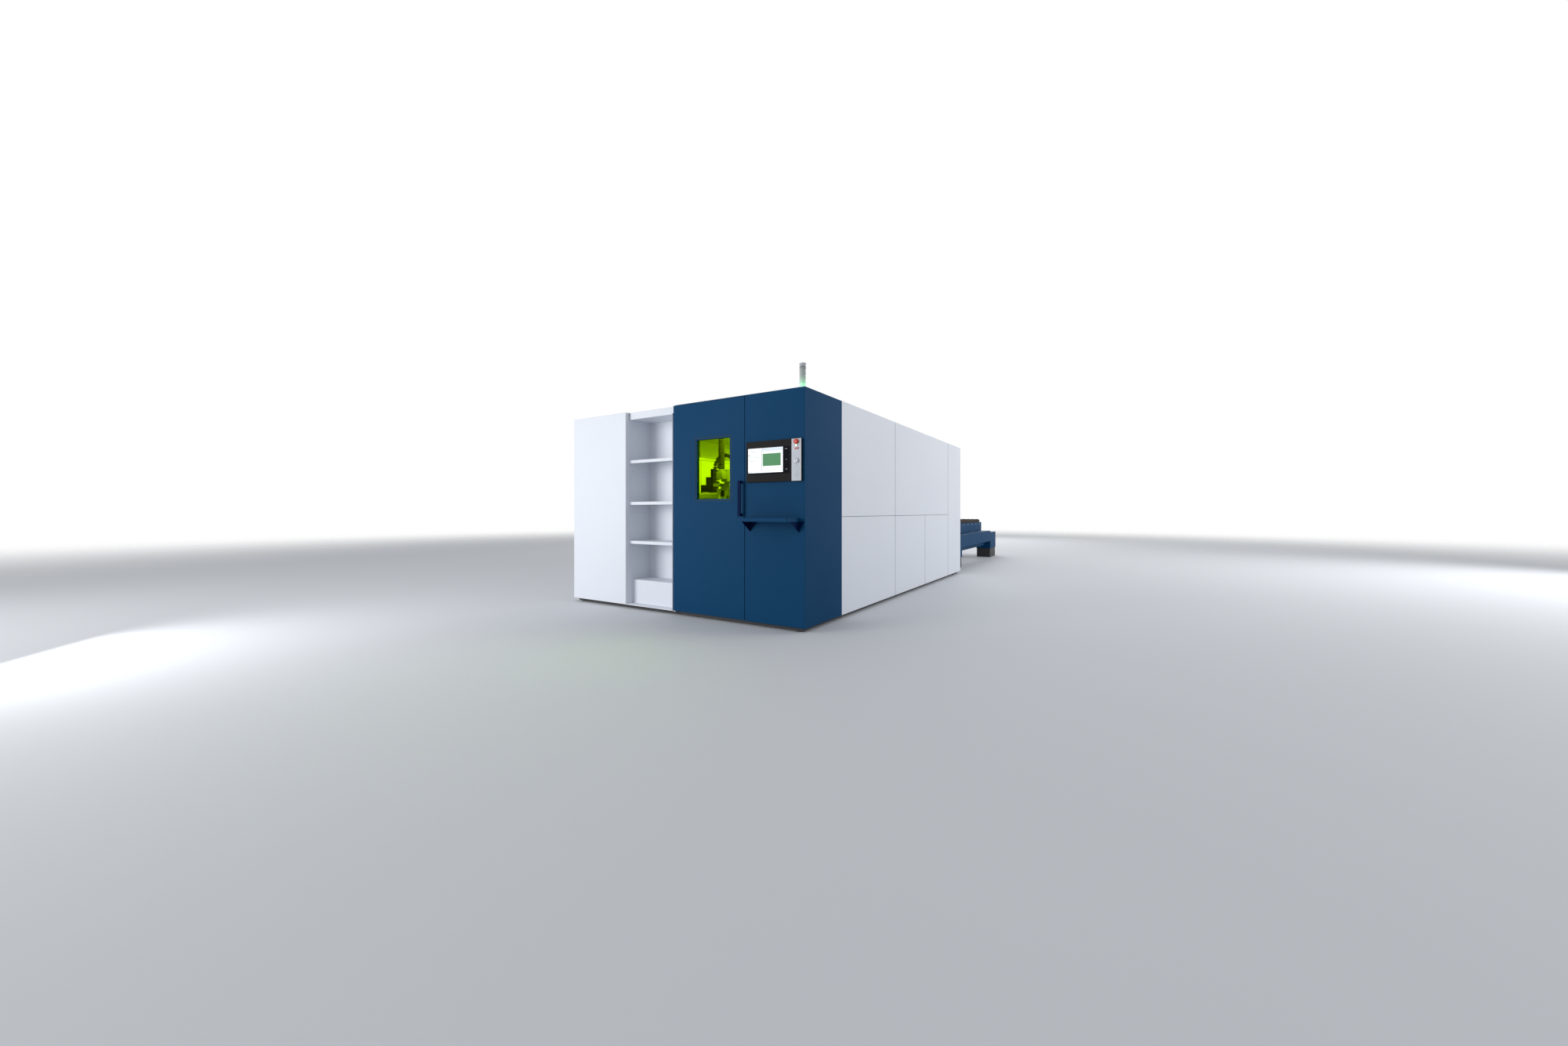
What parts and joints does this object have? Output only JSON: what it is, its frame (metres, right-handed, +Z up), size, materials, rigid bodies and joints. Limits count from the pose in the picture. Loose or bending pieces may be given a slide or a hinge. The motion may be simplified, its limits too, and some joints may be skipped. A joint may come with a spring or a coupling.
{
  "type": "fiber laser cutting machine",
  "caption": "Closed-cabin flat-bed laser cutter with a swing door, shelf niche, operator panel, moving gantry and a two-level pallet changer behind.",
  "frame": {"origin": "on the floor, in the middle of the machine's length and width", "axes": "+X to the right seen from the operator's side, +Y from the front to the back, +Z up"},
  "size_m": [3.01, 9.3, 2.332],
  "materials": {
    "blue_paint": "satin powder coat",
    "white_paint": "satin powder coat",
    "dark_base": "matt black paint",
    "frame_grey": "satin grey paint",
    "inner_white": "satin white paint",
    "ground_steel": "ground",
    "slat_steel": "dark hot-rolled plate",
    "machined_alloy": "anodised",
    "laser_glass": "tinted laser safety pane",
    "screen_glass": "black glass",
    "dark_plastic": "fine grain",
    "light_plastic": "smooth",
    "red_plastic": "gloss",
    "white_button": "translucent, lit",
    "pink_button": "gloss",
    "lamp_plastic": "translucent",
    "chain_plastic": "black nylon",
    "nozzle_brass": "turned"
  },
  "bodies": {
    "root": {"base_side_beams": "dark_base", "base_cross_beams": "dark_base", "levelling_feet": "dark_base", "control_column_casing": "blue_paint", "right_panel_upper_front": "white_paint", "right_panel_lower_front": "white_paint", "right_panel_upper_rear": "white_paint", "right_panel_lower_middle": "white_paint", "right_panel_lower_rear": "white_paint", "right_end_panel": "white_paint", "left_panel_front": "white_paint", "left_panel_middle": "white_paint", "left_end_panel": "white_paint", "front_left_panel": "white_paint", "rear_wall": "white_paint", "roof": "white_paint", "rear_door_guides": "machined_alloy", "niche_liner": "white_paint", "niche_shelves": "white_paint", "niche_plinth_box": "white_paint", "niche_floor_plate": "white_paint", "door_pivots": "ground_steel", "console_housing": "dark_plastic", "control_strip": "light_plastic", "display_glass": "screen_glass", "keyboard_tray": "blue_paint", "tray_brackets": "blue_paint", "lamp_base": "light_plastic", "lamp_column": "lamp_plastic", "lamp_cap": "light_plastic", "bed_beam_right": "frame_grey", "bed_beam_left": "frame_grey", "guide_rails": "ground_steel", "laser_source_cabinet": "inner_white", "changer_beam_right": "blue_paint", "changer_beam_left": "blue_paint", "changer_corner_boxes": "blue_paint", "changer_feet": "dark_base", "changer_cross_near": "blue_paint", "changer_cross_far": "blue_paint"},
    "door": {"door_leaf": "blue_paint", "door_window_frame": "dark_base", "door_window_glass": "laser_glass", "door_handle": "blue_paint"},
    "bridge": {"gantry_bridge": "inner_white"},
    "carriage": {"carriage": "inner_white", "energy_chain_arch": "chain_plastic"},
    "head": {"head_slide": "machined_alloy", "cutting_head": "machined_alloy", "cutting_nozzle": "nozzle_brass"},
    "guard_door": {"rear_guard_door": "frame_grey"},
    "lower_pallet": {"lower_pallet_frame": "blue_paint", "lower_pallet_slats": "slat_steel"},
    "upper_pallet": {"upper_pallet_frame": "blue_paint", "upper_pallet_slats": "slat_steel"},
    "emergency_stop": {"emergency_stop_button": "red_plastic"},
    "start": {"start_button": "white_button"},
    "pause": {"pause_button": "pink_button"},
    "reset": {"reset_button": "red_plastic"},
    "dial": {"feed_dial": "light_plastic"}
  },
  "joints": [
    {"name": "door_hinge", "type": "hinge", "parent": "root", "child": "door", "pos_m": [0.0345, -4.431, 1.04], "axis": [0, 0, -1], "range_deg": [0, 95]},
    {"name": "bridge_travel", "type": "slide", "parent": "root", "child": "bridge", "axis": [0, 1, 0], "range_m": [0, 3]},
    {"name": "carriage_travel", "type": "slide", "parent": "bridge", "child": "carriage", "axis": [1, 0, 0], "range_m": [-0.36, 1.14]},
    {"name": "head_travel", "type": "slide", "parent": "carriage", "child": "head", "axis": [0, 0, 1], "range_m": [-0.02, 0.08], "deforming": ["energy_chain_arch"]},
    {"name": "guard_door_lift", "type": "slide", "parent": "root", "child": "guard_door", "axis": [0, 0, 1], "range_m": [-0.65, 0]},
    {"name": "lower_pallet_travel", "type": "slide", "parent": "root", "child": "lower_pallet", "axis": [0, 1, 0], "range_m": [0, 4.495]},
    {"name": "upper_pallet_travel", "type": "slide", "parent": "root", "child": "upper_pallet", "axis": [0, 1, 0], "range_m": [-4.495, 0]},
    {"name": "emergency_stop_press", "type": "slide", "parent": "root", "child": "emergency_stop", "axis": [0, 1, 0], "range_m": [0, 0.004], "stiffness_N_per_m": 1500},
    {"name": "start_press", "type": "slide", "parent": "root", "child": "start", "axis": [0, 1, 0], "range_m": [0, 0.003], "stiffness_N_per_m": 800},
    {"name": "pause_press", "type": "slide", "parent": "root", "child": "pause", "axis": [0, 1, 0], "range_m": [0, 0.0025], "stiffness_N_per_m": 600},
    {"name": "reset_press", "type": "slide", "parent": "root", "child": "reset", "axis": [0, 1, 0], "range_m": [0, 0.0025], "stiffness_N_per_m": 600},
    {"name": "feed_dial_turn", "type": "hinge", "parent": "root", "child": "dial", "pos_m": [1.437, -4.4725, 1.43], "axis": [0, -1, 0], "range_deg": [-150, 150]}
  ],
  "couplings": [
    {"joint": "upper_pallet_travel", "follows": "lower_pallet_travel", "ratio": -1}
  ]
}
